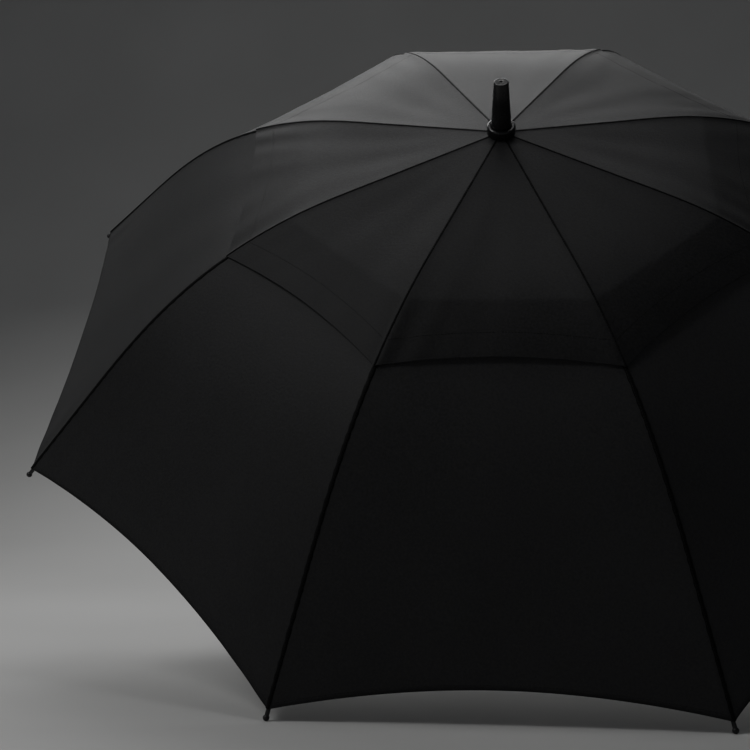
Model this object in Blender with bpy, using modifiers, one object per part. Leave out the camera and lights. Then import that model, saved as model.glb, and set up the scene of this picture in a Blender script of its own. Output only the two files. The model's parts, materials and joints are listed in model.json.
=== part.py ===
"""A vented golf umbrella with eight ribs, lying open on two rib tips and the end of its handle.

Every piece is built in the umbrella's own frame, in metres: +Z runs up the shaft and the top of the
canopy is at z = 0. A rib's parts are drawn in the rib's plane, with X outwards and Y across the rib, and
are then turned round the shaft. One empty, the seat, tilts the umbrella until it rests on z = 0.
"""

import math

import bmesh
import bpy
from mathutils import Matrix, Vector

MM = 0.001
GAP = 0.3 * MM

# The canopy: the rib's length, and its slope below the horizontal along that length.
RIBS = 8
RIB_LENGTH = 750 * MM
HALF_STEP = math.pi / RIBS
TOP_SLOPE = math.radians(9.5)
SLOPE_GAIN = math.radians(36.0)
SLOPE_START = 0.18
SLOPE_SPAN = 0.62
PROFILE_STEPS = 400

# The fabric, as fractions of the rib's length.
FABRIC_THICKNESS = 0.8 * MM
UPPER_START_RADIUS = 8.2 * MM
UPPER_HEM = 0.474
UPPER_HEM_DIP = 0.015
UPPER_LIFT = 2.2 * MM
LOWER_START = 0.361
LOWER_HEM = 0.982
LOWER_HEM_DIP = 0.036
UPPER_ROWS = 5
LOWER_ROWS = 8
HALF_GORE_COLUMNS = 2
STRAP_RIB = 2
STRAP_START = 0.66
STRAP_END = 0.92
STRAP_SIDE = 70 * MM
STRAP_WIDTH = 22 * MM
STRAP_THICKNESS = 1.2 * MM

# The ribs and stretchers.
RIB_DROP = 3.6 * MM
RIB_JOINT = 0.474
RIB_DIAMETER = 3.5 * MM
RIB_END_DIAMETER = 2.6 * MM
BLADE_WIDTH = 2.0 * MM
BLADE_HEIGHT = 5.0 * MM
BRACKET_WIDTH = 6.4 * MM
BRACKET_LENGTH = 20 * MM
BRACKET_SHIFT = 1.8 * MM
TAB_WIDTH = 3.0 * MM
TAB_LENGTH = 8.0 * MM
PIVOT_INSET = 9.0 * MM
PIVOT_DROP = 12.0 * MM
RIVET_HOLE = 1.2 * MM
STRETCHER_DIAMETER = 3.2 * MM
STRETCHER_OFFSET = 5.5 * MM
TIP_START = 0.968
TIP_RADIUS = 2.4 * MM
TIP_BALL = 3.6 * MM
TIP_BORE = 13.5 * MM

# The shaft and what is fixed on it.
SHAFT_RADIUS = 7.0 * MM
SHAFT_BORE = 5.5 * MM
SHAFT_TOP = 40 * MM
SHAFT_END = -908 * MM
FIT_BORE = SHAFT_RADIUS + GAP
FERRULE_TOP = 68 * MM
FERRULE_BASE = 7.3 * MM
FERRULE_TOP_RADIUS = 8.5 * MM
FERRULE_BASE_RADIUS = 12.2 * MM
CAP_RADIUS = 17 * MM
CAP_TOP = 9.5 * MM
CROWN_RADIUS = 15 * MM
CROWN_TOP = -3.8 * MM
CROWN_END = -15 * MM
CROWN_PIVOT = Vector((12 * MM, 0, -9 * MM))
WIRE_RADIUS = 0.6 * MM
WIRE_CHANNEL = 0.9 * MM
WIRE_EYE = 1.0 * MM
SLOT_WIDTH = 2.8 * MM
SLOT_CLEARANCE = 2.8 * MM

# The runner, at its place with the umbrella open.
RUNNER_PIVOT = Vector((13 * MM, 0, -262 * MM))
RUNNER_RADIUS = 16.5 * MM
RUNNER_BORE = 7.4 * MM
RUNNER_ABOVE = 10 * MM
RUNNER_BELOW = 36 * MM
CLOSED_BRACKET_RADIUS = 17 * MM

# The catches: flat wedges that stand out of slots in the shaft.
CATCH_REACH = 10.2 * MM
CATCH_ROOT = 4.2 * MM
CATCH_LENGTH = 14 * MM
CATCH_LEDGE = 1.5 * MM
CATCH_WIDTH = 2.4 * MM
CATCH_PLAY = 0.6 * MM

# The handle.
HANDLE_TOP = -746 * MM
HANDLE_END = -932 * MM
GRIP_END = -924 * MM
GRIP_TOP_RADIUS = 17 * MM
GRIP_WAIST_RADIUS = 16 * MM
GRIP_END_RADIUS = 19 * MM
END_FILLET = 2.5 * MM

ROUND_STEPS = 24
ROD_CHAMFER = 0.293

BLACK_FABRIC = ("canopy_fabric", (0.012, 0.012, 0.013), 0.75, 0.0)
BLACK_PLASTIC = ("black_plastic", (0.015, 0.015, 0.016), 0.35, 0.0)
GREY_FIBREGLASS = ("fibreglass", (0.06, 0.06, 0.065), 0.45, 0.0)
STEEL = ("plated_steel", (0.55, 0.55, 0.56), 0.3, 1.0)
FOAM = ("foam_grip", (0.02, 0.02, 0.02), 0.85, 0.0)


def clear_scene():
    for obj in list(bpy.data.objects):
        bpy.data.objects.remove(obj)


def new_collection(name):
    group = bpy.data.collections.new(name)
    bpy.context.scene.collection.children.link(group)
    return group


def make_material(name, colour, roughness, metallic):
    found = bpy.data.materials.get(name)
    if found:
        return found
    made = bpy.data.materials.new(name)
    made.use_nodes = True
    shader = made.node_tree.nodes["Principled BSDF"]
    shader.inputs["Base Color"].default_value = (*colour, 1.0)
    shader.inputs["Roughness"].default_value = roughness
    shader.inputs["Metallic"].default_value = metallic
    return made


# ---------------------------------------------------------------- the canopy's curve


def smooth(value):
    clipped = min(max(value, 0.0), 1.0)
    return clipped * clipped * (3 - 2 * clipped)


def slope_at(share):
    """The rib's slope below the horizontal at a share of its length."""
    return TOP_SLOPE + SLOPE_GAIN * smooth((share - SLOPE_START) / SLOPE_SPAN)


def canopy_point(share, lift=0.0):
    """The point of the canopy over a rib, in the rib's plane, lifted along the outward normal."""
    steps = max(1, round(PROFILE_STEPS * share))
    step = RIB_LENGTH * share / steps
    slopes = [slope_at(share * (index + 0.5) / steps) for index in range(steps)]
    radius = sum(math.cos(slope) for slope in slopes) * step
    height = -sum(math.sin(slope) for slope in slopes) * step
    slope = slope_at(share)
    return Vector((radius + lift * math.sin(slope), 0, height + lift * math.cos(slope)))


def rib_point(share):
    return canopy_point(share, -RIB_DROP)


def rib_direction(share):
    slope = slope_at(share)
    return Vector((math.cos(slope), 0, -math.sin(slope)))


RIB_HINGE = rib_point(RIB_JOINT)
STRETCHER_PIVOT = RIB_HINGE + Vector((-PIVOT_INSET, 0, -PIVOT_DROP))
TIP_BALL_CENTRE = rib_point(1.0) - rib_direction(1.0) * TIP_BALL


def runner_travel():
    """How far the runner goes down the shaft to bring the brackets in to their closed radius."""
    rib = (STRETCHER_PIVOT - CROWN_PIVOT).length
    stretcher = (STRETCHER_PIVOT - RUNNER_PIVOT).length
    bracket_drop = math.sqrt(rib**2 - (CLOSED_BRACKET_RADIUS - CROWN_PIVOT.x) ** 2)
    runner_drop = math.sqrt(stretcher**2 - (CLOSED_BRACKET_RADIUS - RUNNER_PIVOT.x) ** 2)
    return RUNNER_PIVOT.z - (CROWN_PIVOT.z - bracket_drop - runner_drop)


RUNNER_TRAVEL = runner_travel()


# ---------------------------------------------------------------- making solids


def mesh_object(name, build):
    """A new object whose mesh is filled in by build(bmesh)."""
    mesh = bpy.data.meshes.new(name)
    work = bmesh.new()
    build(work)
    work.to_mesh(mesh)
    work.free()
    obj = bpy.data.objects.new(name, mesh)
    guides.objects.link(obj)
    return obj


def add_modifier(obj, kind, **settings):
    modifier = obj.modifiers.new(kind.title(), kind)
    for key, value in settings.items():
        setattr(modifier, key, value)
    return modifier


def cut(obj, cutter, operation="DIFFERENCE"):
    cutter.hide_render = True
    cutter.display_type = "WIRE"
    add_modifier(obj, "BOOLEAN", operation=operation, object=cutter)


def settled_mesh(obj):
    """The object's mesh with its modifiers applied. The object itself is removed."""
    graph = bpy.context.evaluated_depsgraph_get()
    mesh = bpy.data.meshes.new_from_object(obj.evaluated_get(graph))
    mesh.shade_smooth()
    mesh.set_sharp_from_angle(angle=math.radians(35))
    bpy.data.objects.remove(obj)
    return mesh


def turned(name, outline, steps=ROUND_STEPS):
    """A solid turned about Z. An open outline starts and ends on the axis, a closed one goes round a bore."""
    closed = outline[0][0] > 0

    def build(work):
        points = [work.verts.new((radius, 0, height)) for radius, height in outline]
        for first, second in zip(points, points[1:]):
            work.edges.new((first, second))
        if closed:
            work.edges.new((points[-1], points[0]))

    obj = mesh_object(name, build)
    settings = {"steps": steps, "render_steps": steps, "use_merge_vertices": True}
    add_modifier(obj, "SCREW", merge_threshold=0.00001, use_smooth_shade=True, **settings)
    return obj


def box(name, low, high):
    size = Vector(high) - Vector(low)
    middle = (Vector(high) + Vector(low)) / 2
    matrix = Matrix.Translation(middle) @ Matrix.Diagonal((*size, 1.0))
    return mesh_object(name, lambda work: bmesh.ops.create_cube(work, size=1.0, matrix=matrix))


def cross_hole(name, centre, radius, reach=12 * MM):
    """A round cutter across the rib's plane."""
    matrix = Matrix.Translation(centre) @ Matrix.Rotation(math.pi / 2, 4, "X")

    def build(work):
        bmesh.ops.create_cone(
            work, cap_ends=True, segments=12, radius1=radius, radius2=radius, depth=2 * reach, matrix=matrix
        )

    return mesh_object(name, build)


def ring_of_wire(name, centre_radius, height, wire_radius):
    bpy.ops.mesh.primitive_torus_add(
        major_radius=centre_radius,
        minor_radius=wire_radius,
        major_segments=24,
        minor_segments=6,
        location=(0, 0, height),
    )
    obj = bpy.context.object
    obj.name = name
    obj.data.transform(Matrix.Translation(obj.location))
    obj.location = (0, 0, 0)
    for group in list(obj.users_collection):
        group.objects.unlink(obj)
    guides.objects.link(obj)
    return obj


def section(centre, along, width, height, chamfer):
    """The eight corners of a bar's cross-section, square to the direction that the bar runs in."""
    up = Vector((-along.z, 0, along.x)).normalized()
    across = Vector((0, 1, 0))
    half_width, half_height = width / 2, height / 2
    corner = chamfer * min(width, height)
    flat, tall = half_width - corner, half_height - corner
    places = [(half_width, -tall), (half_width, tall), (flat, half_height), (-flat, half_height)]
    places += [(-half_width, tall), (-half_width, -tall), (-flat, -half_height), (flat, -half_height)]
    return [centre + across * side + up * rise for side, rise in places]


def bar(name, stations):
    """A closed loft through (centre, direction, width, height, chamfer) stations."""

    def build(work):
        rings = [[work.verts.new(point) for point in section(*station)] for station in stations]
        for first, second in zip(rings, rings[1:]):
            for index in range(len(first)):
                after = (index + 1) % len(first)
                work.faces.new((first[index], first[after], second[after], second[index]))
        work.faces.new(rings[0])
        work.faces.new(rings[-1])
        bmesh.ops.recalc_face_normals(work, faces=work.faces)

    return mesh_object(name, build)


def blade_end(pivot, along, width, sign):
    """Stations of a flat eye with a rounded end at its pivot. The bar runs towards sign * along."""
    eye = [(-2.5, 1.0), (-1.8, 3.5), (0.0, 5.0)]
    stations = [(pivot + along * sign * place * MM, along, width, height * MM, 0.15) for place, height in eye]
    stations.append((pivot + along * sign * 8 * MM, along, width, BLADE_HEIGHT, 0.15))
    return stations


# ---------------------------------------------------------------- placing them


def place(name, mesh, finish, azimuth=0.0, origin=(0, 0, 0)):
    """Puts a mesh drawn in the rib's plane at its azimuth, with its origin moved to the joint's axis."""
    mesh = mesh.copy()
    mesh.transform(Matrix.Translation(-Vector(origin)))
    mesh.materials.clear()
    mesh.materials.append(make_material(*finish))
    obj = bpy.data.objects.new(name, mesh)
    umbrella.objects.link(obj)
    obj.parent = seat
    obj.rotation_euler = (0, 0, azimuth)
    obj.location = Matrix.Rotation(azimuth, 3, "Z") @ Vector(origin)
    return obj


def place_round(name, mesh, finish, origin):
    """One copy of a rib's part for each rib."""
    for number in range(1, RIBS + 1):
        place(f"{name}_{number}", mesh, finish, rib_azimuth(number), origin)


def rib_azimuth(number):
    return (2 * number - 1) * HALF_STEP


# ---------------------------------------------------------------- the fabric


def gore_mesh(name, rows, start, hem, dip, lift):
    """The fabric carried by one rib: straight chords to the middle of the panel on each side of it.

    The hem dips towards the middle of the panel, and lift(share) holds the fabric off the canopy's curve.
    """
    columns = range(-HALF_GORE_COLUMNS, HALF_GORE_COLUMNS + 1)

    def corner(row, column):
        across = column / HALF_GORE_COLUMNS
        end = hem - dip * (1 - (1 - abs(across)) ** 2)
        share = start + (end - start) * row / rows
        point = canopy_point(share, lift(share))
        half_chord = point.x * math.sin(HALF_STEP)
        across *= 1 - GAP / 2 / half_chord
        inward = half_chord * math.sin(HALF_STEP) * abs(across)
        return Vector((point.x - inward, half_chord * math.cos(HALF_STEP) * across, point.z))

    def build(work):
        grid = [[work.verts.new(corner(row, column)) for column in columns] for row in range(rows + 1)]
        for upper, lower in zip(grid, grid[1:]):
            for index in range(len(columns) - 1):
                work.faces.new((upper[index], lower[index], lower[index + 1], upper[index + 1]))

    obj = mesh_object(name, build)
    add_modifier(obj, "SOLIDIFY", thickness=FABRIC_THICKNESS, offset=-1.0, use_even_offset=True)
    return settled_mesh(obj)


def strap_mesh():
    """The tie strap, folded back flat on the outside of its panel."""
    rows, columns = 8, 1

    def corner(row, column):
        share = STRAP_START + (STRAP_END - STRAP_START) * row / rows
        side = STRAP_SIDE + STRAP_WIDTH * column / columns
        point = canopy_point(share, GAP)
        return Vector((point.x - side * math.tan(HALF_STEP), side, point.z))

    def build(work):
        across = range(columns + 1)
        grid = [[work.verts.new(corner(row, column)) for column in across] for row in range(rows + 1)]
        for upper, lower in zip(grid, grid[1:]):
            for index in range(columns):
                work.faces.new((upper[index], lower[index], lower[index + 1], upper[index + 1]))

    obj = mesh_object("strap_sheet", build)
    add_modifier(obj, "SOLIDIFY", thickness=STRAP_THICKNESS, offset=1.0, use_even_offset=True)
    return settled_mesh(obj)


def make_canopy():
    upper_start = UPPER_START_RADIUS / math.cos(TOP_SLOPE) / RIB_LENGTH

    def upper_lift(share):
        return UPPER_LIFT * smooth((share - 0.2) / (LOWER_START - 0.2))

    upper = gore_mesh("upper_sheet", UPPER_ROWS, upper_start, UPPER_HEM, UPPER_HEM_DIP, upper_lift)
    lower = gore_mesh("lower_sheet", LOWER_ROWS, LOWER_START, LOWER_HEM, LOWER_HEM_DIP, lambda share: 0.0)
    place_round("upper_gore", upper, BLACK_FABRIC, CROWN_PIVOT)
    place_round("lower_gore", lower, BLACK_FABRIC, RIB_HINGE)
    place("tie_strap", strap_mesh(), BLACK_FABRIC, rib_azimuth(STRAP_RIB), RIB_HINGE)


# ---------------------------------------------------------------- ribs and stretchers


def inner_rib_mesh():
    """From the crown to the joint bracket, whose tab carries the stretcher."""
    rod = (RIB_DIAMETER, RIB_DIAMETER, ROD_CHAMFER)
    stations = blade_end(CROWN_PIVOT, Vector((1, 0, 0)), BLADE_WIDTH, 1)
    stations.append((CROWN_PIVOT + Vector((13, 0, -0.4)) * MM, Vector((1, 0, -0.06)), *rod))
    bracket_end = RIB_JOINT - (RIB_DIAMETER / 2 + GAP) / RIB_LENGTH
    bracket_start = bracket_end - BRACKET_LENGTH / RIB_LENGTH
    rod_shares = [0.06, 0.12, 0.18, 0.24, 0.3, 0.36, 0.42, bracket_start - 0.004]
    for share in rod_shares:
        stations.append((rib_point(share), rib_direction(share), *rod))
    for share in (bracket_start, bracket_end):
        along = rib_direction(share)
        centre = canopy_point(share, -RIB_DROP - BRACKET_SHIFT)
        stations.append((centre, along, BRACKET_WIDTH, BRACKET_WIDTH, 0.2))
    obj = bar("inner_rib", stations)
    reach = Vector((TAB_LENGTH / 2, TAB_WIDTH / 2, 0))
    low = STRETCHER_PIVOT - reach + Vector((0, 0, -3.5 * MM))
    high = STRETCHER_PIVOT + reach + Vector((0, 0, PIVOT_DROP - 2 * MM))
    cut(obj, box("rib_tab", low, high), "UNION")
    cut(obj, cross_hole("rib_eye_hole", CROWN_PIVOT, WIRE_EYE))
    cut(obj, cross_hole("rivet_hole", STRETCHER_PIVOT, RIVET_HOLE))
    return settled_mesh(obj)


def outer_rib_mesh():
    """From its rounded end in the joint bracket to the rib tip."""
    end = TIP_START + 0.017
    along = rib_direction(RIB_JOINT)
    stations = []
    for place_mm, size_mm in ((-1.7, 0.9), (-1.1, 2.7), (0.0, 3.5)):
        size = size_mm * MM
        stations.append((RIB_HINGE + along * place_mm * MM, along, size, size, ROD_CHAMFER))
    pieces = 9
    for index in range(1, pieces + 1):
        share = RIB_JOINT + (end - RIB_JOINT) * index / pieces
        size = RIB_DIAMETER + (RIB_END_DIAMETER - RIB_DIAMETER) * index / pieces
        stations.append((rib_point(share), rib_direction(share), size, size, ROD_CHAMFER))
    return settled_mesh(bar("outer_rib", stations))


def stretcher_mesh():
    """From the runner to the bracket's tab, set a little to one side so that it passes the rib."""
    outer = STRETCHER_PIVOT + Vector((0, STRETCHER_OFFSET, 0))
    along = (STRETCHER_PIVOT - RUNNER_PIVOT).normalized()
    reach = (outer - RUNNER_PIVOT).length
    rod = (STRETCHER_DIAMETER, STRETCHER_DIAMETER, ROD_CHAMFER)
    stations = blade_end(RUNNER_PIVOT, along, BLADE_WIDTH, 1)
    for share in (12 * MM / reach, 1 - 12 * MM / reach):
        stations.append((RUNNER_PIVOT.lerp(outer, share), along, *rod))
    stations += reversed(blade_end(outer, along, 2.6 * MM, -1))
    obj = bar("stretcher_rod", stations)
    cut(obj, cross_hole("stretcher_eye_hole", RUNNER_PIVOT, WIRE_EYE))
    cut(obj, cross_hole("stretcher_rivet_hole", outer, RIVET_HOLE))
    return settled_mesh(obj)


def tip_mesh():
    """A ball-ended cap, bored for the end of the rib."""
    length = (1.0 - TIP_START) * RIB_LENGTH
    bore = RIB_END_DIAMETER / 2 + GAP
    outline = [(0.0, -TIP_BORE), (bore, -TIP_BORE), (bore, 0.0), (TIP_RADIUS - 0.4 * MM, 0.0)]
    outline += [(TIP_RADIUS, -0.4 * MM), (TIP_RADIUS, 2 * TIP_BALL - length)]
    for degrees in (50, 25, 0, -30, -60, -90):
        angle = math.radians(degrees)
        radius = TIP_BALL * math.cos(angle) if degrees > -90 else 0.0
        outline.append((radius, TIP_BALL - length + TIP_BALL * math.sin(angle)))
    obj = turned("rib_tip", outline, 16)
    along = rib_direction((1.0 + TIP_START) / 2)
    start = rib_point(1.0) - along * length
    turn = Vector((0, 0, -1)).rotation_difference(along).to_matrix().to_4x4()
    mesh = settled_mesh(obj)
    mesh.transform(Matrix.Translation(start) @ turn)
    return mesh


def make_frame():
    place_round("rib_inner", inner_rib_mesh(), GREY_FIBREGLASS, CROWN_PIVOT)
    place_round("rib_outer", outer_rib_mesh(), GREY_FIBREGLASS, RIB_HINGE)
    place_round("rib_tip", tip_mesh(), BLACK_PLASTIC, RIB_HINGE)
    place_round("stretcher", stretcher_mesh(), GREY_FIBREGLASS, RUNNER_PIVOT)


# ---------------------------------------------------------------- what is turned about the shaft


def slotted(name, outline, pivot, outer_radius, low, high):
    """A turned ring with a slot for each blade and a channel for the wire that the blades hang on."""
    obj = turned(name, outline)
    half = SLOT_WIDTH / 2
    for number in range(1, RIBS + 1):
        slot = box(f"{name}_slot", (pivot.x - SLOT_CLEARANCE, -half, low), (outer_radius + MM, half, high))
        slot.rotation_euler = (0, 0, rib_azimuth(number))
        cut(obj, slot)
    cut(obj, ring_of_wire(f"{name}_channel", pivot.x, pivot.z, WIRE_CHANNEL))
    bpy.context.view_layer.update()
    return settled_mesh(obj)


def make_crown():
    edge = 0.8 * MM
    outline = [(FIT_BORE, CROWN_TOP), (CROWN_RADIUS - edge, CROWN_TOP), (CROWN_RADIUS, CROWN_TOP - edge)]
    outline += [(CROWN_RADIUS, CROWN_END + edge), (CROWN_RADIUS - edge, CROWN_END), (FIT_BORE, CROWN_END)]
    crown = slotted("crown", outline, CROWN_PIVOT, CROWN_RADIUS, CROWN_END - MM, CROWN_TOP + MM)
    place("crown", crown, BLACK_PLASTIC)
    wire = settled_mesh(ring_of_wire("crown_ring", CROWN_PIVOT.x, CROWN_PIVOT.z, WIRE_RADIUS))
    place("crown_wire", wire, STEEL)


def make_runner():
    pivot = RUNNER_PIVOT.z
    flange = 6 * MM
    sleeve = 11.5 * MM
    bead = 13 * MM
    outline = [(RUNNER_BORE, RUNNER_ABOVE), (9.0 * MM, RUNNER_ABOVE), (9.8 * MM, RUNNER_ABOVE - MM)]
    outline += [(9.8 * MM, flange), (RUNNER_RADIUS - MM, flange), (RUNNER_RADIUS, flange - MM)]
    outline += [(RUNNER_RADIUS, MM - flange), (RUNNER_RADIUS - MM, -flange), (sleeve, -flange)]
    outline += [(sleeve, 4 * MM - RUNNER_BELOW), (bead, 3 * MM - RUNNER_BELOW)]
    outline += [(bead, MM - RUNNER_BELOW), (bead - MM, -RUNNER_BELOW), (RUNNER_BORE, -RUNNER_BELOW)]
    outline = [(radius, pivot + height) for radius, height in outline]
    slot_end = pivot - flange - 0.2 * MM
    runner = slotted("runner", outline, RUNNER_PIVOT, RUNNER_RADIUS, slot_end, pivot + flange + MM)
    origin = (0, 0, pivot)
    place("runner", runner, BLACK_PLASTIC, 0.0, origin)
    wire = settled_mesh(ring_of_wire("runner_ring", RUNNER_PIVOT.x, pivot, WIRE_RADIUS))
    place("runner_wire", wire, STEEL, 0.0, origin)


def catch_heights():
    """Where each catch's ledge is, and which way its wedge runs: +1 is up the shaft."""
    top_ledge = RUNNER_PIVOT.z - RUNNER_BELOW - CATCH_PLAY
    bottom_ledge = RUNNER_PIVOT.z - RUNNER_TRAVEL + RUNNER_ABOVE + CATCH_PLAY
    return {"top_catch": (top_ledge, -1), "bottom_catch": (bottom_ledge, 1)}


def wedge_mesh(ledge, way):
    """A flat wedge in the XZ plane: a square ledge towards the runner and a slope away from it."""
    outline = [(CATCH_ROOT, 0.0), (CATCH_REACH, 0.0), (CATCH_REACH, CATCH_LEDGE)]
    outline += [(SHAFT_RADIUS + 0.2 * MM, CATCH_LENGTH), (CATCH_ROOT, CATCH_LENGTH)]

    def build(work):
        sides = []
        for side in (-CATCH_WIDTH / 2, CATCH_WIDTH / 2):
            sides.append([work.verts.new((reach, side, ledge + way * rise)) for reach, rise in outline])
        work.faces.new(sides[0])
        work.faces.new(sides[1])
        for index in range(len(outline)):
            after = (index + 1) % len(outline)
            work.faces.new((sides[0][index], sides[0][after], sides[1][after], sides[1][index]))
        bmesh.ops.recalc_face_normals(work, faces=work.faces)

    return settled_mesh(mesh_object("wedge", build))


def make_shaft():
    outline = [(SHAFT_BORE, SHAFT_TOP), (SHAFT_RADIUS, SHAFT_TOP)]
    outline += [(SHAFT_RADIUS, SHAFT_END), (SHAFT_BORE, SHAFT_END)]
    tube = turned("tube", outline)
    half = CATCH_WIDTH / 2 + GAP
    for name, (ledge, way) in catch_heights().items():
        ends = sorted((ledge - way * GAP, ledge + way * (CATCH_LENGTH + GAP)))
        slot = box(f"{name}_slot", (3 * MM, -half, ends[0]), (9 * MM, half, ends[1]))
        cut(tube, slot)
        place(name, wedge_mesh(ledge, way), STEEL, 0.0, (SHAFT_RADIUS, 0, ledge))
    place("shaft_tube", settled_mesh(tube), GREY_FIBREGLASS)


def make_top():
    """The ferrule and the cap that clamps the canopy on the crown."""
    hole, hole_depth, edge = 1.6 * MM, 6 * MM, 0.8 * MM
    outline = [(0.0, FERRULE_TOP - hole_depth), (hole, FERRULE_TOP - hole_depth), (hole, FERRULE_TOP)]
    outline += [(FERRULE_TOP_RADIUS - edge, FERRULE_TOP), (FERRULE_TOP_RADIUS, FERRULE_TOP - edge)]
    outline += [(FERRULE_BASE_RADIUS, FERRULE_BASE), (FIT_BORE, FERRULE_BASE)]
    outline += [(FIT_BORE, SHAFT_TOP + MM), (0.0, SHAFT_TOP + MM)]
    place("ferrule", settled_mesh(turned("ferrule_turned", outline)), BLACK_PLASTIC)

    def over_canopy(radius):
        return GAP - radius * math.tan(TOP_SLOPE)

    lip = FERRULE_BASE_RADIUS + GAP
    crest = (lip + CAP_RADIUS) / 2
    half_width = (CAP_RADIUS - lip) / 2
    rounding = 1.4 * MM
    outline = [(FIT_BORE, FERRULE_BASE - GAP), (lip, FERRULE_BASE - GAP)]
    for degrees in (180, 135, 90, 45, 0):
        angle = math.radians(degrees)
        height = CAP_TOP - rounding + rounding * math.sin(angle)
        outline.append((crest + half_width * math.cos(angle), height))
    foot = CAP_RADIUS - 0.6 * MM
    outline += [(foot, over_canopy(foot)), (FIT_BORE, over_canopy(FIT_BORE))]
    place("top_cap", settled_mesh(turned("cap_turned", outline)), BLACK_PLASTIC)


def make_handle():
    edge = 1.5 * MM
    length = HANDLE_TOP - GRIP_END
    outline = [(FIT_BORE, HANDLE_TOP), (GRIP_TOP_RADIUS - edge, HANDLE_TOP)]
    rows = 6
    for row in range(rows + 1):
        share = row / rows
        swell = (GRIP_END_RADIUS - GRIP_WAIST_RADIUS) * smooth((share - 0.35) / 0.65)
        flare = (GRIP_TOP_RADIUS - GRIP_WAIST_RADIUS) * smooth(1 - share / 0.2)
        height = HANDLE_TOP - edge - share * (length - edge)
        outline.append((GRIP_WAIST_RADIUS + swell + flare, height))
    outline.append((FIT_BORE, GRIP_END))
    place("handle_grip", settled_mesh(turned("grip_turned", outline)), FOAM)
    top = GRIP_END - GAP
    boss = SHAFT_BORE - GAP
    boss_top = SHAFT_END + 8 * MM
    outline = [(0.0, boss_top), (boss, boss_top), (boss, top), (GRIP_END_RADIUS, top)]
    for degrees in (0, 30, 60, 90):
        angle = math.radians(degrees)
        inset = GRIP_END_RADIUS - END_FILLET
        drop = END_FILLET * math.sin(angle)
        outline.append((inset + END_FILLET * math.cos(angle), HANDLE_END + END_FILLET - drop))
    outline.append((0.0, HANDLE_END))
    place("handle_end_cap", settled_mesh(turned("end_turned", outline)), BLACK_PLASTIC)


# ---------------------------------------------------------------- how it lies


def resting_tilt():
    """The turn about X that sets the two front rib tips and the edge of the handle's end level."""
    tip = Vector((-TIP_BALL_CENTRE.x * math.cos(HALF_STEP), TIP_BALL_CENTRE.z))
    edge = Vector((END_FILLET - GRIP_END_RADIUS, HANDLE_END + END_FILLET))
    span = tip - edge
    up_angle = math.atan2(span.y, span.x) - math.acos((TIP_BALL - END_FILLET) / span.length)
    return math.pi / 2 - up_angle


def set_down():
    """Moves the seat so that the umbrella's box stands on z = 0, centred on the origin."""
    seat.rotation_euler = (resting_tilt(), 0, 0)
    bpy.context.view_layer.update()
    solids = [obj for obj in umbrella.objects if obj.type == "MESH"]
    points = [obj.matrix_world @ vert.co for obj in solids for vert in obj.data.vertices]
    lows = [min(point[axis] for point in points) for axis in range(3)]
    highs = [max(point[axis] for point in points) for axis in range(3)]
    seat.location = (-(lows[0] + highs[0]) / 2, -(lows[1] + highs[1]) / 2, -lows[2])
    bpy.context.view_layer.update()


clear_scene()
umbrella = new_collection("golf_umbrella")
guides = new_collection("guides")
seat = bpy.data.objects.new("seat", None)
umbrella.objects.link(seat)
make_shaft()
make_top()
make_crown()
make_runner()
make_handle()
make_frame()
make_canopy()
set_down()
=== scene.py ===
"""The golf umbrella's looks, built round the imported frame: its sewn canopies, seams, fittings and handle.

Shapes are worked out in the umbrella's own frame, in metres: Z up the shaft, the canopy's top at z = 0 and
the side that leans towards the camera at -Y. to_row() turns them into the row frame.
"""

import json
import math

import bmesh
import bpy
import numpy as np
from mathutils import Matrix, Vector


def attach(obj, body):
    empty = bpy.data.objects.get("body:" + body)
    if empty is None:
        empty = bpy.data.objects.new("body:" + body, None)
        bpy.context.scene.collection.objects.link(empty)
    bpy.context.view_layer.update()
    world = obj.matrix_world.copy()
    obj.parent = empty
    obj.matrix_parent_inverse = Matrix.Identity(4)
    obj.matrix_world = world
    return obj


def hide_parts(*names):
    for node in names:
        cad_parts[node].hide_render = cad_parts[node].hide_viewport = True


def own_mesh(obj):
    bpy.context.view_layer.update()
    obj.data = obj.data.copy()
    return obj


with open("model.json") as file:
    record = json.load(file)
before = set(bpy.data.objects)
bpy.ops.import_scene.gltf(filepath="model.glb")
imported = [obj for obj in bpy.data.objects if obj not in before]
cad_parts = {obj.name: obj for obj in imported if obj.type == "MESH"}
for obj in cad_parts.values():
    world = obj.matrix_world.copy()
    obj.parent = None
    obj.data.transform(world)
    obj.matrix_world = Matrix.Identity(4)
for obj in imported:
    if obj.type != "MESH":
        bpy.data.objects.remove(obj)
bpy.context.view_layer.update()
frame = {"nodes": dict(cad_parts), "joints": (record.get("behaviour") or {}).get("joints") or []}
MM = 0.001

# ---------------------------------------------------------------- the umbrella's own frame

RIBS = 8
HALF_STEP = math.pi / RIBS
JOINTS = {joint["name"]: joint for joint in frame["joints"]}
UP = -Vector(JOINTS["runner_slide"]["axis"])
BACK = UP.cross(Vector((1, 0, 0)))
CROWN_DROP = 9 * MM
HINGES = [Vector(JOINTS[f"rib_hinge_{number}"]["pos_m"]) for number in range(1, RIBS + 1)]
APEX = sum(HINGES, Vector()) / RIBS + UP * CROWN_DROP
AXES = np.array([[1, 0, 0], BACK, UP])

# The canopy's curve: a rib's length, and its slope below the horizontal along that length.
RIB_LENGTH = 750 * MM
TOP_SLOPE = math.radians(9.5)
SLOPE_GAIN = math.radians(36.0)
SLOPE_START = 0.18
SLOPE_SPAN = 0.62
RIB_DROP = 3.6 * MM

# The fabric, as fractions of the rib's length, and how far the upper canopy stands off the lower one.
UPPER_START = 0.0112
UPPER_HEM = 0.474
UPPER_DIP = 0.015
UPPER_LIFT = 2.2 * MM
VENT_EDGE = 0.361
BAND_END = 0.445
SEAM_START = 0.021
LOWER_HEM = 0.982
LOWER_DIP = 0.036

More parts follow.
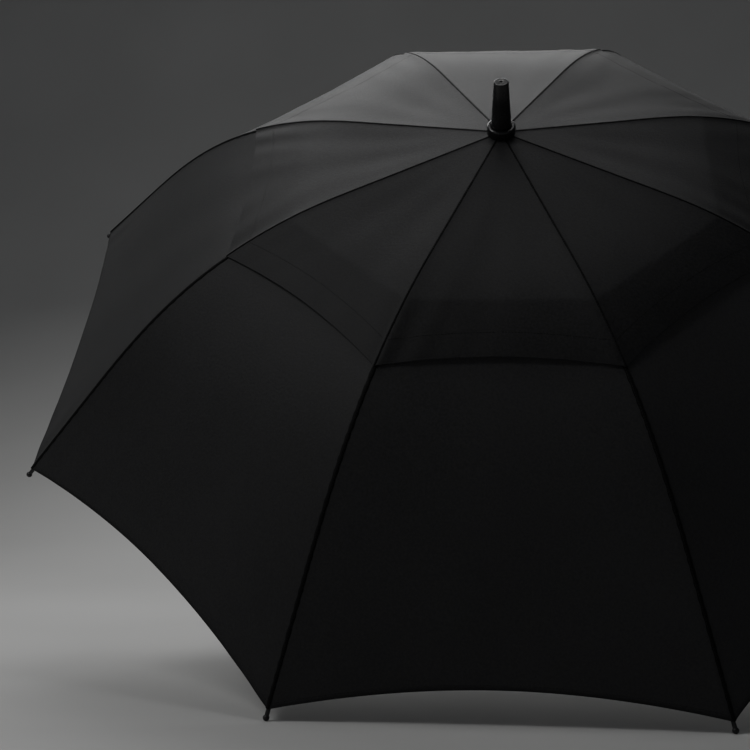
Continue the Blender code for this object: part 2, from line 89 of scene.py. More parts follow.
# The grids that the panels are made on. The last 2 * HEM_ROWS rows are the hem, turned under.
HALF_COLUMNS = 26
UPPER_ROWS = 46
LOWER_ROWS = 84
SEAM_COLUMNS = 9
LEAST_AREA_SHARE = 0.31
HEM_WIDTH = 3.2 * MM
HEM_EDGE = 0.35 * MM
HEM_ROWS = 4
UPPER_STITCH_ROW = -13
BAND_STITCH_ROW = 2
LOWER_STITCH_ROW = -10
BAND_TUCK = 0.3 * MM

# How far the cloth sags and stands off its surface.
UPPER_SAG = 2.0 * MM
LOWER_SAG = 4.0 * MM
PUCKER_HEIGHT = 0.22 * MM
PULL_HEIGHT = 0.7 * MM
RIPPLE_HEIGHT = 0.6 * MM
WEAVE_PITCH = 0.9 * MM
STITCH_PITCH = 3.4 * MM
STITCH_LENGTH = 2.4 * MM
STITCH_RADIUS = 0.22 * MM
STITCH_RAISE = 0.12 * MM

# The fittings: the ferrule, the rib tips, the handle and the tie strap.
SHAFT_FIT = 7.4 * MM
FERRULE_BORE = 7.3 * MM
FERRULE_TOP = 68 * MM
TIP_LENGTH = 24 * MM
TIP_MIDDLE = 0.984
TIP_BALL = 3.6 * MM
HANDLE_TOP = -746 * MM
GRIP_END = -924 * MM
HANDLE_END = -932 * MM
GRIP_WAIST = 16 * MM
GRIP_FLARE = 1 * MM
GRIP_SWELL = 3 * MM
GRIP_EDGE = 1.5 * MM
GRIP_RUN = 175 * MM
GROOVE_DEPTH = 0.55 * MM
GROOVE_PITCH = 7 * MM
GROOVES_FROM = 0.16
GROOVES_TO = 0.84
STRAP_RIB = 2
STRAP_START = 0.66
STRAP_RUN = 0.26
STRAP_SIDE = 70 * MM
STRAP_WIDTH = 22 * MM


def to_row(points):
    """Points of the umbrella's frame, in the row frame."""
    return np.asarray(points, float) @ AXES + np.array(APEX)


def row_direction(vector):
    return Vector(np.asarray(vector, float) @ AXES)


def rib_azimuth(number):
    return (2 * number - 1) * HALF_STEP


def smooth(value):
    clipped = np.clip(value, 0.0, 1.0)
    return clipped * clipped * (3 - 2 * clipped)


def slope_at(share):
    return TOP_SLOPE + SLOPE_GAIN * smooth((share - SLOPE_START) / SLOPE_SPAN)


SHARES = np.linspace(0, 1.02, 2041)
MIDDLES = (SHARES[1:] + SHARES[:-1]) / 2
STEP = (SHARES[1] - SHARES[0]) * RIB_LENGTH
RADII = np.concatenate([[0], np.cumsum(np.cos(slope_at(MIDDLES))) * STEP])
HEIGHTS = np.concatenate([[0], -np.cumsum(np.sin(slope_at(MIDDLES))) * STEP])


def canopy_curve(share, lift=0.0):
    """Radius and height of the canopy over a rib, lifted along its outward normal."""
    slope = slope_at(share)
    radius = np.interp(share, SHARES, RADII) + lift * np.sin(slope)
    return radius, np.interp(share, SHARES, HEIGHTS) + lift * np.cos(slope)


def upper_lift(share):
    return UPPER_LIFT * smooth((share - 0.2) / (VENT_EDGE - 0.2))


def no_lift(share):
    return 0.0 * share


# ---------------------------------------------------------------- materials


def node(tree, kind, **inputs):
    made = tree.nodes.new(kind)
    for name, value in inputs.items():
        made.inputs[name.replace("_", " ")].default_value = value
    return made


def start_material(name):
    made = bpy.data.materials.new(name)
    made.use_nodes = True
    return made, made.node_tree, made.node_tree.nodes["Principled BSDF"]


def ramp(tree, source, low, high, start=0.3, end=0.7):
    """A colour ramp between two greys or colours."""
    made = tree.nodes.new("ShaderNodeValToRGB")
    for element, place, colour in zip(made.color_ramp.elements, (start, end), (low, high)):
        element.position = place
        element.color = (*colour, 1.0)
    tree.links.new(source, made.inputs["Fac"])
    return made.outputs["Color"]


def span(tree, source, low, high):
    made = node(tree, "ShaderNodeMapRange", To_Min=low, To_Max=high)
    tree.links.new(source, made.inputs["Value"])
    return made.outputs["Result"]


def bump(tree, height, distance, strength=1.0, under=None):
    made = node(tree, "ShaderNodeBump", Distance=distance, Strength=strength)
    tree.links.new(height, made.inputs["Height"])
    if under is not None:
        tree.links.new(under, made.inputs["Normal"])
    return made.outputs["Normal"]


def object_noise(tree, scale, detail=3.0):
    place = tree.nodes.new("ShaderNodeTexCoord")
    made = node(tree, "ShaderNodeTexNoise", Scale=scale, Detail=detail)
    tree.links.new(place.outputs["Object"], made.inputs["Vector"])
    return made.outputs["Fac"]


def thread_wave(tree, uv, direction, pitch):
    """The height of threads that run across direction, a pitch apart."""
    made = node(tree, "ShaderNodeTexWave", Scale=math.tau / 20 / pitch, Distortion=0.4, Detail=1.0)
    made.bands_direction = direction
    tree.links.new(uv, made.inputs["Vector"])
    return made.outputs["Fac"]


def fabric_material(name, dark, light, through):
    """Plain-woven black polyester: crossed threads, slubs, a little sheen, and some light let through."""
    material, tree, shader = start_material(name)
    uv = tree.nodes.new("ShaderNodeUVMap").outputs["UV"]
    warp = thread_wave(tree, uv, "X", WEAVE_PITCH)
    weft = thread_wave(tree, uv, "Y", WEAVE_PITCH)
    weave = node(tree, "ShaderNodeMath")
    weave.operation = "MAXIMUM"
    tree.links.new(warp, weave.inputs[0])
    tree.links.new(weft, weave.inputs[1])
    grain = object_noise(tree, 380.0, 3.0)
    cloud = object_noise(tree, 5.0, 4.0)
    mottle = node(tree, "ShaderNodeMath")
    mottle.operation = "MULTIPLY_ADD"
    mottle.inputs[1].default_value = 0.65
    tree.links.new(grain, mottle.inputs[0])
    tree.links.new(span(tree, cloud, 0.0, 0.35), mottle.inputs[2])
    colour = ramp(tree, mottle.outputs[0], dark, light, 0.36, 0.62)
    tree.links.new(colour, shader.inputs["Base Color"])
    tree.links.new(span(tree, grain, 0.5, 0.68), shader.inputs["Roughness"])
    threads = bump(tree, weave.outputs[0], 0.12 * MM, 0.5)
    tree.links.new(bump(tree, grain, 0.5 * MM, 0.5, threads), shader.inputs["Normal"])
    shader.inputs["Sheen Weight"].default_value = 0.13
    shader.inputs["Sheen Roughness"].default_value = 0.4
    shader.inputs["Specular IOR Level"].default_value = 0.4
    glow = node(tree, "ShaderNodeBsdfTranslucent", Color=(*through, 1.0))
    mix = node(tree, "ShaderNodeMixShader", Fac=0.35)
    tree.links.new(shader.outputs[0], mix.inputs[1])
    tree.links.new(glow.outputs[0], mix.inputs[2])
    tree.links.new(mix.outputs[0], tree.nodes["Material Output"].inputs["Surface"])
    return material


def seam_material():
    """The taped seam: ribbed, denser and darker than the panels."""
    material, tree, shader = start_material("seam_tape")
    uv = tree.nodes.new("ShaderNodeUVMap").outputs["UV"]
    ridges = thread_wave(tree, uv, "Y", 1.6 * MM)
    grain = object_noise(tree, 500.0, 2.0)
    colour = ramp(tree, grain, (0.002, 0.002, 0.0021), (0.005, 0.005, 0.0053))
    tree.links.new(colour, shader.inputs["Base Color"])
    tree.links.new(span(tree, grain, 0.7, 0.85), shader.inputs["Roughness"])
    tree.links.new(bump(tree, ridges, 0.3 * MM, 0.6), shader.inputs["Normal"])
    shader.inputs["Specular IOR Level"].default_value = 0.2
    return material


def thread_material():
    """Twisted sewing thread, a shade lighter than the seams."""
    material, tree, shader = start_material("thread")
    twist = object_noise(tree, 1500.0, 1.0)
    colour = ramp(tree, twist, (0.004, 0.004, 0.004), (0.012, 0.012, 0.0125))
    tree.links.new(colour, shader.inputs["Base Color"])
    shader.inputs["Roughness"].default_value = 0.65
    shader.inputs["Specular IOR Level"].default_value = 0.25
    return material


def plastic_material(name, dark, light, smoothest, roughest, grain_scale, grain_depth):
    """Moulded plastic with a fine moulded texture and faint handling marks."""
    material, tree, shader = start_material(name)
    grain = object_noise(tree, grain_scale, 2.0)
    marks = object_noise(tree, 60.0, 5.0)
    tree.links.new(ramp(tree, marks, dark, light), shader.inputs["Base Color"])
    tree.links.new(span(tree, marks, smoothest, roughest), shader.inputs["Roughness"])
    tree.links.new(bump(tree, grain, grain_depth, 0.5), shader.inputs["Normal"])
    return material


def fibre_material():
    """Pultruded fibreglass rod: fine streaks along its length under a satin surface."""
    material, tree, shader = start_material("fibreglass_rod")
    streaks = object_noise(tree, 140.0, 6.0)
    colour = ramp(tree, streaks, (0.018, 0.018, 0.02), (0.045, 0.045, 0.048))
    tree.links.new(colour, shader.inputs["Base Color"])
    tree.links.new(span(tree, streaks, 0.28, 0.42), shader.inputs["Roughness"])
    tree.links.new(bump(tree, streaks, 0.05 * MM, 0.4), shader.inputs["Normal"])
    shader.inputs["Coat Weight"].default_value = 0.3
    shader.inputs["Coat Roughness"].default_value = 0.2
    return material


def steel_material():
    """Plated steel with a faint brushed grain."""
    material, tree, shader = start_material("plated_steel")
    brushing = object_noise(tree, 300.0, 4.0)
    colour = ramp(tree, brushing, (0.42, 0.42, 0.43), (0.62, 0.62, 0.63))
    tree.links.new(colour, shader.inputs["Base Color"])
    tree.links.new(span(tree, brushing, 0.2, 0.36), shader.inputs["Roughness"])
    shader.inputs["Metallic"].default_value = 1.0
    return material


def foam_material():
    """Closed-cell foam: a matt skin of fine pores."""
    material, tree, shader = start_material("foam_skin")
    place = tree.nodes.new("ShaderNodeTexCoord")
    pores = node(tree, "ShaderNodeTexVoronoi", Scale=900.0)
    tree.links.new(place.outputs["Object"], pores.inputs["Vector"])
    wear = object_noise(tree, 25.0, 4.0)
    colour = ramp(tree, wear, (0.014, 0.014, 0.015), (0.026, 0.026, 0.027))
    tree.links.new(colour, shader.inputs["Base Color"])
    tree.links.new(bump(tree, pores.outputs["Distance"], 0.3 * MM, 0.7), shader.inputs["Normal"])
    shader.inputs["Roughness"].default_value = 0.82
    shader.inputs["Sheen Weight"].default_value = 0.15
    return material


CLOTH = fabric_material(
    "canopy_cloth", dark=(0.007, 0.007, 0.0074), light=(0.023, 0.023, 0.0242), through=(0.06, 0.06, 0.062)
)
SEAM = seam_material()
THREAD = thread_material()
GLOSS = plastic_material(
    "glossy_black",
    dark=(0.009, 0.009, 0.0095),
    light=(0.014, 0.014, 0.015),
    smoothest=0.2,
    roughest=0.32,
    grain_scale=700.0,
    grain_depth=0.02 * MM,
)
SATIN = plastic_material(
    "satin_black",
    dark=(0.012, 0.012, 0.013),
    light=(0.02, 0.02, 0.021),
    smoothest=0.35,
    roughest=0.5,
    grain_scale=500.0,
    grain_depth=0.05 * MM,
)
FIBRE = fibre_material()
STEEL = steel_material()
FOAM = foam_material()


# ---------------------------------------------------------------- meshes


def grid_faces(rows, columns, start=0):
    """Quads of a grid whose points run along each row in turn."""
    row, column = np.meshgrid(np.arange(rows - 1), np.arange(columns - 1), indexing="ij")
    first = start + row * columns + column
    return np.stack([first, first + columns, first + columns + 1, first + 1], -1).reshape(-1, 4).tolist()


def grid_normals(points):
    """Unit normals of a grid of points, shape (rows, columns, 3)."""
    along = np.gradient(points, axis=0)
    across = np.gradient(points, axis=1)
    normals = np.cross(along, across)
    return normals / np.maximum(np.linalg.norm(normals, axis=2, keepdims=True), 1e-12)


def new_piece(name, points, faces, materials, normals=None, uv=None, indices=None):
    """A smooth mesh object in the row frame, from points of the umbrella's frame."""
    mesh = bpy.data.meshes.new(name)
    mesh.from_pydata(to_row(points).tolist(), [], faces)
    for material in materials:
        mesh.materials.append(material)
    if indices is not None:
        mesh.polygons.foreach_set("material_index", indices)
    if uv is not None:
        layer = mesh.uv_layers.new(name="UVMap")
        corners = np.empty(len(mesh.loops), np.int32)
        mesh.loops.foreach_get("vertex_index", corners)
        layer.data.foreach_set("uv", np.asarray(uv, np.float32)[corners].ravel())
    mesh.shade_smooth()
    if normals is not None:
        mesh.normals_split_custom_set_from_vertices((np.asarray(normals) @ AXES).tolist())
    obj = bpy.data.objects.new(name, mesh)
    bpy.context.scene.collection.objects.link(obj)
    return obj


def stitches(path, outward, start):
    """Raised stitches along a path: small pointed dashes. Returns their points and faces."""
    steps = np.linalg.norm(np.diff(path, axis=0), axis=1)
    travelled = np.concatenate([[0], np.cumsum(steps)])
    count = int((travelled[-1] - STITCH_PITCH) / STITCH_PITCH)
    points, faces = [], []

    def at(distance, values):
        return np.array([np.interp(distance, travelled, values[:, axis]) for axis in range(3)])

    for index in range(count):
        begin = (index + 0.7) * STITCH_PITCH
        ends = at(begin, path), at(begin + STITCH_LENGTH, path)
        along = ends[1] - ends[0]
        up = at(begin + STITCH_LENGTH / 2, outward)
        side = np.cross(along, up)
        side *= STITCH_RADIUS / max(np.linalg.norm(side), 1e-12)
        up = up * STITCH_RADIUS / max(np.linalg.norm(up), 1e-12)
        base = start + len(points)
        for share in (0.2, 0.8):
            middle = ends[0] + along * share
            points += [middle - side, middle + up, middle + side]
        points += [ends[0] - up * 0.4, ends[1] - up * 0.4]
        for a, b in ((0, 1), (1, 2), (2, 0)):
            faces.append((base + a, base + b, base + b + 3, base + a + 3))
            faces.append((base + b, base + a, base + 6))
            faces.append((base + a + 3, base + b + 3, base + 7))
    return points, faces


# ---------------------------------------------------------------- the canopies


def panel_point(azimuth, share, across, lift):
    """A point of the panel whose middle is at azimuth. across runs from rib to rib, -1 to 1."""
    radius, height = canopy_curve(share, lift)
    forward = radius * math.cos(HALF_STEP)
    sideways = across * radius * math.sin(HALF_STEP)
    x = forward * math.cos(azimuth) - sideways * math.sin(azimuth)
    y = forward * math.sin(azimuth) + sideways * math.cos(azimuth)
    return np.stack(np.broadcast_arrays(x, y, height), -1)


def cloth_relief(share, across, hem, number, slack):
    """How far the cloth stands off the ruled surface: sag, pulls towards the tips and puckered seams."""
    radius, _ = canopy_curve(share)
    to_rib = (1 - np.abs(across)) * radius * math.sin(HALF_STEP)
    along = share * RIB_LENGTH
    phase = 1.7 * number
    bow = 1 - across**2
    sag = -slack * bow * np.sin(math.pi * smooth((share - 0.05) / (hem - 0.05)))
    calm = smooth((radius - 60 * MM) / (120 * MM))
    wander = 2.2 * np.sin(along / (31 * MM) + phase)
    pucker = np.exp(-to_rib / (9 * MM)) * np.sin(along / (2.6 * MM) + wander)
    pull = np.exp(-to_rib / (55 * MM)) * smooth((share - hem + 0.2) / 0.2)
    pull = pull * np.sin(to_rib / (7 * MM) + 3 * across + phase)
    ripple = np.sin(along / (47 * MM) + 5 * across + phase)
    ripple = ripple * np.sin(along / (83 * MM) - 3 * across + 2 * phase)
    edge = smooth(to_rib / (6 * MM))
    by_the_seams = PUCKER_HEIGHT * pucker * edge * calm + PULL_HEIGHT * pull * edge
    return sag + by_the_seams + RIPPLE_HEIGHT * ripple * bow * calm


def panel_grid(number, start, hem, dip, lift, slack, rows):
    """Points and metric UVs of the panel after rib number. Its last rows are the hem, turned under."""
    azimuth = rib_azimuth(number) + HALF_STEP
    across = np.sin(np.linspace(-1, 1, 2 * HALF_COLUMNS + 1) * math.pi / 2)
    edge = hem - dip * (1 - across**2)
    turns = np.radians(np.linspace(45, 180, HEM_ROWS))[:, None]
    back = np.linspace(0.25, 1, HEM_ROWS)[:, None] * HEM_WIDTH
    shares = [start + (edge - start) * np.linspace(0, 1, rows)[:, None]]
    shares += [edge + HEM_EDGE * np.sin(turns) / RIB_LENGTH, edge - back / RIB_LENGTH]
    drops = [np.zeros((rows, 1)), HEM_EDGE * (1 - np.cos(turns)), np.full((HEM_ROWS, 1), 2 * HEM_EDGE)]
    share, drop = np.concatenate(shares), np.concatenate(drops)
    spread = np.broadcast_to(across, share.shape)
    relief = cloth_relief(share, spread, hem, number, slack)
    points = panel_point(azimuth, share, spread, lift(share) - drop + relief)
    radius, _ = canopy_curve(share)
    uv = np.stack([spread * radius * math.sin(HALF_STEP), share * RIB_LENGTH + 0.013 * number], -1)
    return points, uv


def outward_normal(azimuth, slope):
    """The normal of a surface that faces outwards at azimuth and falls away at slope."""
    flat = math.sin(slope)
    return np.array([math.cos(azimuth) * flat, math.sin(azimuth) * flat, math.cos(slope)])


def rib_place(number, share, drop=RIB_DROP):
    """The point under the canopy, by drop, at a share of the rib's length."""
    radius, height = canopy_curve(share, -drop)
    azimuth = rib_azimuth(number)
    return np.array([radius * math.cos(azimuth), radius * math.sin(azimuth), height])


def add_fold(obj):
    """Gives the piece its own copy of its mesh."""
    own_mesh(obj)


def half_panel(name, number, side, grid, uv, body, stitch_row):
    """One side of a panel: the cloth that a rib carries as far as the middle of the panel.

    side 1 is the half just after rib number, and side -1 the half just before it. The seam's stitches run
    along stitch_row of the grid.
    """
    middle = HALF_COLUMNS
    normals = grid_normals(grid)
    chosen = slice(0, middle + 1) if side > 0 else slice(middle, 2 * middle + 1)
    points, normals, uv = grid[:, chosen], normals[:, chosen], uv[:, chosen]
    rows, columns = points.shape[:2]
    faces = grid_faces(rows, columns)
    indices = [0] * len(faces)
    flat_points = points.reshape(-1, 3).tolist()
    flat_normals = normals.reshape(-1, 3).tolist()
    flat_uv = uv.reshape(-1, 2).tolist()
    lifted = points[stitch_row] + normals[stitch_row] * STITCH_RAISE
    extra, extra_faces = stitches(lifted, normals[stitch_row], len(flat_points))
    flat_points += [list(point) for point in extra]
    flat_normals += [[0.0, 0.0, 0.0]] * len(extra)
    flat_uv += [[0.0, 0.0]] * len(extra)
    faces += extra_faces
    indices += [1] * len(extra_faces)
    obj = new_piece(name, flat_points, faces, [CLOTH, THREAD], flat_normals, flat_uv, indices)
    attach(obj, body)
    steps = np.linalg.norm(np.diff(points, axis=0), axis=2).sum(0)
    widths = np.linalg.norm(np.diff(points, axis=1), axis=2).sum(1)
    cells = np.cross(points[1:, 1:] - points[:-1, :-1], points[1:, :-1] - points[:-1, 1:])
    area = float(np.linalg.norm(cells, axis=2).sum() / 2)
    flat = (float(widths.max()), float(steps.max()))
    area = max(area, LEAST_AREA_SHARE * flat[0] * flat[1])
    return obj


def add_panels():
    """Each panel as two halves, one on each of its ribs: the upper canopy, the vent band and the lower one.

    The vent band is the lower canopy's strip above the ribs' bend. It overlaps the rest of the panel by one
    row and is tucked under it, so that no light leaks between them.
    """
    split = round((BAND_END - VENT_EDGE) / (LOWER_HEM - VENT_EDGE) * (LOWER_ROWS - 1))
    for number in range(1, RIBS + 1):
        after = number % RIBS + 1
        upper = panel_grid(number, UPPER_START, UPPER_HEM, UPPER_DIP, upper_lift, UPPER_SAG, UPPER_ROWS)
        points, uv = panel_grid(number, VENT_EDGE, LOWER_HEM, LOWER_DIP, no_lift, LOWER_SAG, LOWER_ROWS)
        outward = outward_normal(rib_azimuth(number) + HALF_STEP, float(slope_at(BAND_END)))
        band = (points[: split + 2] - BAND_TUCK * outward, uv[: split + 2])
        skirt = (points[split:], uv[split:])
        for rib, side, word in ((number, 1, "after"), (after, -1, "before")):
            inner, outer = f"rib_{rib}", f"rib_end_{rib}"
            top = half_panel(f"upper_panel_{word}_{rib}", rib, side, *upper, inner, UPPER_STITCH_ROW)
            add_fold(top)
            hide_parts(f"upper_gore_{rib}")
            vent = half_panel(f"vent_band_{word}_{rib}", rib, side, *band, inner, BAND_STITCH_ROW)
            add_fold(vent)
            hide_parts(f"upper_gore_{rib}")
            low = half_panel(f"lower_panel_{word}_{rib}", rib, side, *skirt, outer, LOWER_STITCH_ROW)
            add_fold(low)
            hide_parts(f"lower_gore_{rib}")


def seam_strip(name, number, start, end, width, height, lift, body):
    """A taped seam laid over a rib, bent over the ridge between its two panels."""
    rows = max(8, int((end - start) * RIB_LENGTH / (3.2 * MM)))
    share = np.linspace(start, end, rows)[:, None]
    offsets = np.linspace(-1, 1, SEAM_COLUMNS)[None, :]
    radius, _ = canopy_curve(share)
    along = share * RIB_LENGTH
    wobble = 1 + 0.13 * np.sin(along / (2.3 * MM) + 2 * np.sin(along / (23 * MM) + number))
    reach = np.abs(offsets) * width / 2 * wobble
    across = 1 - reach / (radius * math.sin(HALF_STEP))
    rise = height * (1 - np.abs(offsets) ** 3) - 0.25 * MM
    before = panel_point(rib_azimuth(number) - HALF_STEP, share, across, lift(share) + rise)
    after = panel_point(rib_azimuth(number) + HALF_STEP, share, -across, lift(share) + rise)
    points = np.where((offsets < 0)[..., None], before, after)
    uv = np.stack(np.broadcast_arrays(offsets * width / 2, along), -1)
    faces = grid_faces(rows, SEAM_COLUMNS)
    indices = [0] * len(faces)
    flat = points.reshape(-1, 3).tolist()
    uv = uv.reshape(-1, 2).tolist()
    normals = grid_normals(points)
    for column in (2, SEAM_COLUMNS - 3):
        extra, extra_faces = stitches(points[:, column], normals[:, column], len(flat))
        flat += [list(point) for point in extra]
        uv += [[0.0, 0.0]] * len(extra)
        faces += extra_faces
        indices += [1] * len(extra_faces)
    obj = new_piece(name, flat, faces, [SEAM, THREAD], None, uv, indices)
    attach(obj, body)
    return obj


def add_seams():
    """The seams over each rib: the upper canopy's, the vent band's and the lower canopy's."""
    for number in range(1, RIBS + 1):
        inner, outer = f"rib_{number}", f"rib_end_{number}"
        upper, band, lower = f"upper_seam_{number}", f"band_seam_{number}", f"lower_seam_{number}"
        seam_strip(upper, number, SEAM_START, UPPER_HEM, 3.0 * MM, 0.8 * MM, upper_lift, inner)
        seam_strip(band, number, VENT_EDGE, BAND_END, 5.6 * MM, 0.9 * MM, no_lift, inner)
        seam_strip(lower, number, BAND_END, LOWER_HEM, 5.8 * MM, 1.1 * MM, no_lift, outer)


# ---------------------------------------------------------------- turned pieces


def arc(centre, radius, start, end, count=6):
    """Points of an arc, in degrees, for a turned outline."""
    angles = np.radians(np.linspace(start, end, count))
    return [(centre[0] + radius * math.cos(a), centre[1] + radius * math.sin(a)) for a in angles]


def turned(name, outline, material, steps=96, centre=(0, 0, 0), direction=(0, 0, 1)):
    """A closed outline of (radius, height) turned about an axis through centre."""
    outline = np.array(outline)
    angles = np.linspace(0, math.tau, steps, endpoint=False)
    radius, height = outline[:, 0][:, None], outline[:, 1][:, None]
    local = np.stack(np.broadcast_arrays(radius * np.cos(angles), radius * np.sin(angles), height), -1)
    turn = np.array(Vector((0, 0, 1)).rotation_difference(Vector(direction)).to_matrix())
    points = local.reshape(-1, 3) @ turn.T + np.array(centre)
    faces = []
    for row in range(len(outline) - 1):
        first, second = row * steps, (row + 1) * steps
        for step in range(steps):
            after = (step + 1) % steps
            faces.append((first + step, second + step, second + after, first + after))
    obj = new_piece(name, points, faces, [material])
    close_ends(obj)
    obj.data.set_sharp_from_angle(angle=math.radians(40))
    return obj


def close_ends(obj):
    """Welds the rings that lie on the axis, so that the solid is closed."""
    work = bmesh.new()
    work.from_mesh(obj.data)
    bmesh.ops.remove_doubles(work, verts=work.verts, dist=0.00001)
    bmesh.ops.recalc_face_normals(work, faces=work.faces)
    work.to_mesh(obj.data)
    work.free()
    obj.data.shade_smooth()


def add_top():
    """The ferrule and the cap that clamps the canopy."""
    hole, hole_floor, lip, shoulder, foot = 1.9 * MM, 46 * MM, 0.5 * MM, 1.2 * MM, 7.4 * MM
    outline = [(0.0, hole_floor), (hole, hole_floor), (hole, FERRULE_TOP - lip)]
    outline += arc((hole + lip, FERRULE_TOP - lip), lip, 180, 90, 4)
    outline += arc((7.3 * MM, FERRULE_TOP - shoulder), shoulder, 90, 4, 7)
    outline += [(10.2 * MM, 40 * MM), (11.6 * MM, 14 * MM)]
    outline += arc((11.4 * MM, foot + 0.8 * MM), 0.8 * MM, 0, -90, 4)
    outline += [(FERRULE_BORE, foot), (FERRULE_BORE, 41 * MM), (0.0, 41 * MM)]
    ferrule = turned("ferrule_moulding", outline, GLOSS)
    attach(ferrule, "shaft")
    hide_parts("ferrule")
    shelf = 7.0 * MM
    outline = [(SHAFT_FIT, shelf), (12.3 * MM, shelf), (12.5 * MM, 7.2 * MM)]
    outline += arc((13.3 * MM, 8.6 * MM), 0.8 * MM, 180, 90, 5)
    outline += arc((14.9 * MM, 7.4 * MM), 2.0 * MM, 90, 0, 8)
    outline += [(16.9 * MM, 3 * MM), (16.5 * MM, -0.4 * MM)]
    outline += arc((15.8 * MM, -1.2 * MM), 0.7 * MM, 20, -60, 4)
    outline += [(SHAFT_FIT, -0.9 * MM), (SHAFT_FIT, shelf)]
    cap = turned("cap_moulding", outline, GLOSS)
    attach(cap, "shaft")
    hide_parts("top_cap")


def add_handle():
    """The foam grip, ringed with shallow grooves where it is held, and the cap at its end."""
    rows = 120
    outline = [(SHAFT_FIT, HANDLE_TOP)]
    outline += arc((GRIP_WAIST + GRIP_FLARE - GRIP_EDGE, HANDLE_TOP - GRIP_EDGE), GRIP_EDGE, 90, 0, 6)
    for row in range(1, rows):
        share = row / rows
        swell = GRIP_SWELL * float(smooth((share - 0.35) / 0.65))
        flare = GRIP_FLARE * float(smooth(1 - share / 0.2))
        groove = 0.0
        if GROOVES_FROM < share < GROOVES_TO:
            turn = share * (HANDLE_TOP - GRIP_END) / GROOVE_PITCH * math.tau
            groove = GROOVE_DEPTH * max(0.0, math.cos(turn)) ** 6
        height = HANDLE_TOP - GRIP_EDGE - share * GRIP_RUN
        outline.append((GRIP_WAIST + swell + flare - groove, height))
    outline += arc((GRIP_WAIST + 2.0 * MM, GRIP_END + 1.0 * MM), 1.0 * MM, 0, -90, 4)
    outline += [(SHAFT_FIT, GRIP_END), (SHAFT_FIT, HANDLE_TOP)]
    grip = turned("foam_grip", outline, FOAM, 72)
    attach(grip, "shaft")
    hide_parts("handle_grip")
    top, edge, reach = GRIP_END - 0.3 * MM, 0.6 * MM, 18.4 * MM
    outline = [(0.0, top), (reach, top)]
    outline += arc((reach, top - edge), edge, 90, 0, 4)
    outline += arc((16.5 * MM, HANDLE_END + 2.5 * MM), 2.5 * MM, 0, -90, 8)
    outline += [(0.0, HANDLE_END)]
    end = turned("end_cap_moulding", outline, SATIN)
    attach(end, "shaft")
    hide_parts("handle_end_cap")


def add_tips():
    """The ball-ended caps on the ribs, each with a shallow groove near its open end."""
    outline = [(0.0, -13.5 * MM), (1.6 * MM, -13.5 * MM), (1.6 * MM, 0.0), (2.1 * MM, 0.0)]
    outline += [(2.4 * MM, -0.3 * MM), (2.4 * MM, -3.0 * MM), (2.05 * MM, -3.6 * MM), (2.4 * MM, -4.2 * MM)]
    outline += [(2.4 * MM, -16.2 * MM)]
    outline += arc((0.0, TIP_BALL - TIP_LENGTH), TIP_BALL, 48, -90, 14)
    slope = float(slope_at(TIP_MIDDLE))
    flat = math.cos(slope)
    for number in range(1, RIBS + 1):
        azimuth = rib_azimuth(number)
        along = np.array([math.cos(azimuth) * flat, math.sin(azimuth) * flat, -math.sin(slope)])
        start = rib_place(number, 1.0) - along * TIP_LENGTH
        tip = turned(f"tip_moulding_{number}", outline, SATIN, 32, start, -along)
        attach(tip, f"rib_end_{number}")
        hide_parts(f"rib_tip_{number}")


def add_strap():
    """The tie strap, lying folded back on the outside of a back panel."""
    rows, columns = 60, 9
    share = np.linspace(STRAP_START, STRAP_START + STRAP_RUN, rows)[:, None]
    places = np.linspace(0, 1, columns)[None, :]
    radius, _ = canopy_curve(share)
    reach = STRAP_SIDE + STRAP_WIDTH * places
    across = reach / (radius * math.sin(HALF_STEP) * math.cos(HALF_STEP)) - 1
    lift = 1.1 * MM - 0.3 * MM * (2 * places - 1) ** 8 + 0.4 * MM * np.sin(share * 60) * places
    points = panel_point(rib_azimuth(STRAP_RIB) + HALF_STEP, share, across, lift).reshape(-1, 3)
    uv = np.stack(np.broadcast_arrays(reach, share * RIB_LENGTH), -1).reshape(-1, 2)
    strap = new_piece("tie_strap_webbing", points, grid_faces(rows, columns), [SEAM], None, uv)
    thickness = strap.modifiers.new("Solidify", "SOLIDIFY")
    thickness.thickness = 0.9 * MM
    thickness.offset = -0.6
    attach(strap, f"rib_end_{STRAP_RIB}")
    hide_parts("tie_strap")
    add_fold(strap)


def finish_frame_nodes():
    """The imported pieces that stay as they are, each with its finish."""
    finishes = {"crown": SATIN, "runner": SATIN, "shaft_tube": FIBRE}
    for name, obj in frame["nodes"].items():
        if name.startswith(("rib_inner", "rib_outer", "stretcher")):
            finish = FIBRE
        elif name.endswith(("wire", "catch")):
            finish = STEEL
        else:
            finish = finishes.get(name)
        if finish:
            obj.data.materials.clear()
            obj.data.materials.append(finish)


# ---------------------------------------------------------------- camera, floor and light

# The camera, in the umbrella's frame: its place, and its turn from looking along +Y.
CAMERA_AT = np.array([0.013, -1.900, 1.261]) * RIB_LENGTH
CAMERA_TURN = (math.radians(-43.2), math.radians(-0.27), math.radians(5.34))
LENS = 68.5


def add_camera():
    data = bpy.data.cameras.new("camera")
    data.lens = LENS
    data.sensor_width = 36
    data.clip_end = 50
    obj = bpy.data.objects.new("camera", data)
    bpy.context.scene.collection.objects.link(obj)
    turn_x = Matrix.Rotation(CAMERA_TURN[0], 3, "X")
    turn_y = Matrix.Rotation(CAMERA_TURN[1], 3, "Y")
    turn_z = Matrix.Rotation(CAMERA_TURN[2], 3, "Z")
    turn = np.array(turn_x @ turn_y @ turn_z)
    right, forward, up = (row_direction(turn[:, column]) for column in range(3))
    matrix = Matrix((right, up, -forward)).transposed().to_4x4()
    matrix.translation = Vector(to_row(CAMERA_AT))
    obj.matrix_world = matrix
    bpy.context.scene.camera = obj


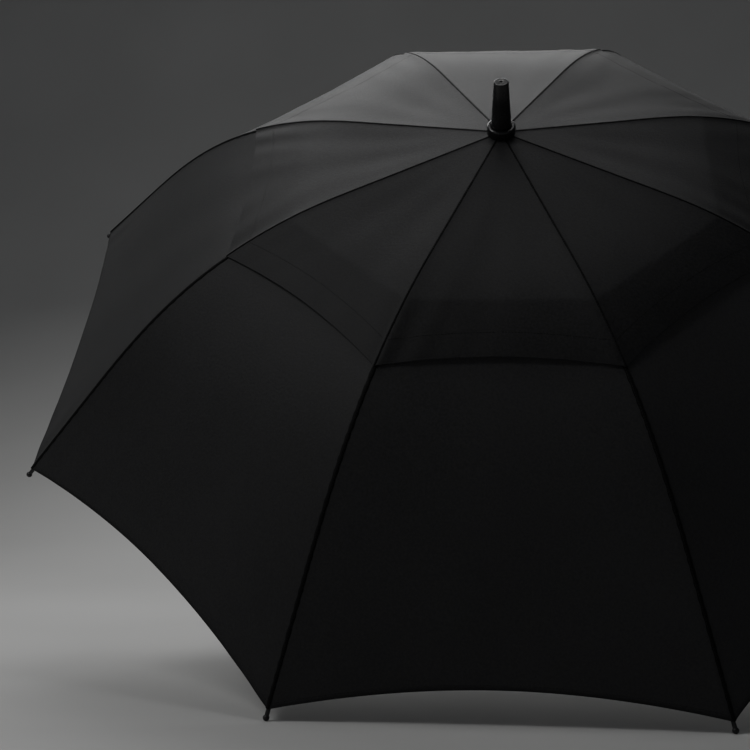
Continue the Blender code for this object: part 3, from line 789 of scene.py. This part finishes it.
def add_stage():
    """A pale floor that sweeps up into a backdrop."""
    front, depth, bend, wall, width, steps = -6.0, 0.9, 2.6, 4.2, 9.0, 16
    profile = [(front, 0.0), (depth, 0.0)]
    for step in range(1, steps + 1):
        angle = math.pi / 2 * step / steps
        profile.append((depth + bend * math.sin(angle), bend - bend * math.cos(angle)))
    profile.append((depth + bend, wall))
    points = [(side * width, y, z) for y, z in profile for side in (-1, 1)]
    faces = [(2 * row, 2 * row + 1, 2 * row + 3, 2 * row + 2) for row in range(len(profile) - 1)]
    mesh = bpy.data.meshes.new("studio_sweep")
    mesh.from_pydata(points, [], faces)
    mesh.shade_smooth()
    material, tree, shader = start_material("studio_paper")
    tone = object_noise(tree, 1.5, 2.0)
    tree.links.new(ramp(tree, tone, (0.5, 0.5, 0.49), (0.55, 0.55, 0.54)), shader.inputs["Base Color"])
    shader.inputs["Roughness"].default_value = 0.9
    mesh.materials.append(material)
    sweep = bpy.data.objects.new("studio_sweep", mesh)
    bpy.context.scene.collection.objects.link(sweep)


def add_light(name, place, target, size, power):
    data = bpy.data.lights.new(name, "AREA")
    data.shape = "RECTANGLE"
    data.size, data.size_y = size
    data.energy = power
    obj = bpy.data.objects.new(name, data)
    bpy.context.scene.collection.objects.link(obj)
    aim = Vector(target) - Vector(place)
    obj.rotation_euler = aim.to_track_quat("-Z", "Y").to_euler()
    obj.location = place


def add_lights():
    world = bpy.data.worlds.new("studio_world")
    world.use_nodes = True
    background = world.node_tree.nodes["Background"]
    background.inputs["Color"].default_value = (0.9, 0.93, 1.0, 1.0)
    background.inputs["Strength"].default_value = 0.05
    bpy.context.scene.world = world
    add_light("overhead", (-0.35, 1.0, 2.1), (0.0, 0.1, 0.65), (1.6, 1.0), 23)
    add_light("top_face", (-0.05, -0.34, 2.4), (-0.05, -0.34, 0.7), (1.0, 0.45), 4.5)
    add_light("left_key", (-1.6, -1.3, 2.1), (-0.2, -0.2, 0.5), (0.8, 0.8), 15)
    add_light("behind", (0.2, 2.3, 0.6), (0, 0, 0.4), (1.6, 0.6), 3.5)


add_camera()
add_panels()
add_seams()
add_top()
add_handle()
add_tips()
add_strap()
finish_frame_nodes()
add_stage()
add_lights()
